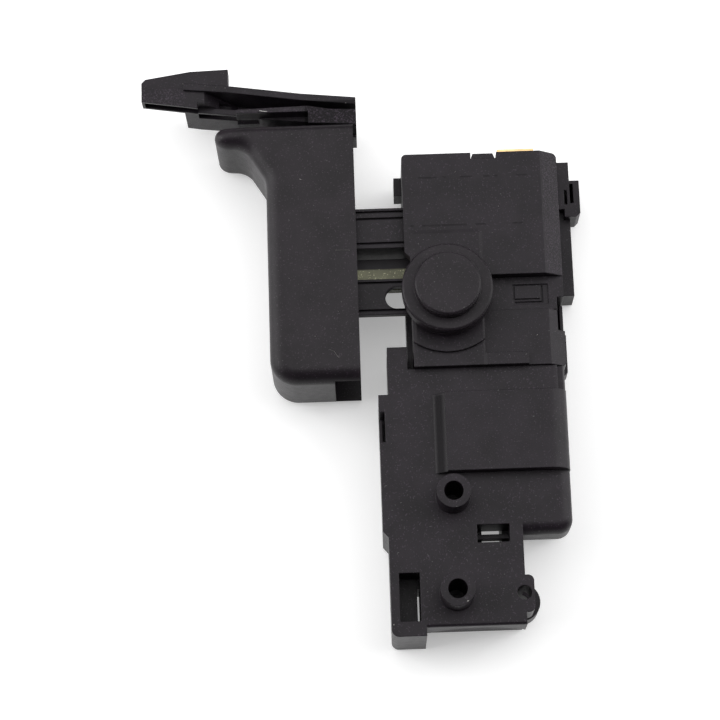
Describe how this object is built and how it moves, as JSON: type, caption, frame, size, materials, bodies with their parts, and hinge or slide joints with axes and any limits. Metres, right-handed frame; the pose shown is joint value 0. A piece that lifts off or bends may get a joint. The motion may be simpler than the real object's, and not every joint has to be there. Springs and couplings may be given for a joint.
{
  "type": "power tool trigger switch",
  "caption": "Hammer drill trigger switch: hooked finger trigger with direction lever, switch body with lock-on button, and a lower speed control module with mounting bosses.",
  "frame": {"origin": "lock button's axis at the flat back plane of the housings", "axes": "+X from the finger trigger towards the switch body's right side, +Y towards the direction lever, +Z out of the face that carries the lock button"},
  "size_m": [0.0757, 0.1004, 0.0241],
  "materials": {
    "housing_black": "fine moulded grain",
    "trigger_black": "fine moulded grain",
    "lever_black": "fine moulded grain",
    "button_black": "fine moulded grain",
    "plunger_black": "fine moulded grain",
    "cream_nylon": "smooth",
    "brass": "rolled",
    "silver": "satin",
    "spring_steel": "drawn wire",
    "board_green": "satin",
    "aluminium": "satin",
    "component_black": "satin",
    "capacitor_yellow": "satin",
    "resistor_body": "satin"
  },
  "bodies": {
    "housing": {"rear_housing": "housing_black", "front_cover": "housing_black", "module_rear_case": "housing_black", "module_front_case": "housing_black", "side_bracket": "housing_black", "return_spring": "spring_steel", "button_spring": "spring_steel", "fixed_pad_lower": "silver", "fixed_pad_upper": "silver", "motor_terminal": "brass", "line_terminal": "brass", "neutral_terminal": "brass", "speed_track": "board_green", "circuit_board": "board_green", "triac": "component_black", "heat_sink": "aluminium", "capacitor": "capacitor_yellow", "resistor_1": "resistor_body", "resistor_2": "resistor_body", "resistor_3": "resistor_body", "control_chip": "component_black"},
    "trigger": {"trigger_shell": "trigger_black", "plunger": "plunger_black", "lock_slider": "cream_nylon", "contact_carrier": "cream_nylon", "contact_bridge": "brass", "bridge_spring": "spring_steel", "moving_pad_lower": "silver", "moving_pad_upper": "silver", "wiper": "brass", "detent_ball": "spring_steel", "detent_spring": "spring_steel"},
    "lock_button": {"lock_button": "button_black"},
    "direction_lever": {"direction_lever": "lever_black", "lever_pivot_pin": "spring_steel"}
  },
  "joints": [
    {"name": "trigger_slide", "type": "slide", "parent": "housing", "child": "trigger", "axis": [1, 0, 0], "range_m": [0, 0.006], "stiffness_N_per_m": 600, "springref_m": -0.008, "deforming": ["return_spring"]},
    {"name": "lock_button_press", "type": "slide", "parent": "housing", "child": "lock_button", "axis": [0, 0, -1], "range_m": [0, 0.0018], "stiffness_N_per_m": 400, "springref_m": -0.003, "deforming": ["button_spring"]},
    {"name": "direction_lever_swing", "type": "hinge", "parent": "trigger", "child": "direction_lever", "pos_m": [-0.01865, 0.0335, 0.0087], "axis": [0, 1, 0], "range_deg": [-8, 8]}
  ]
}
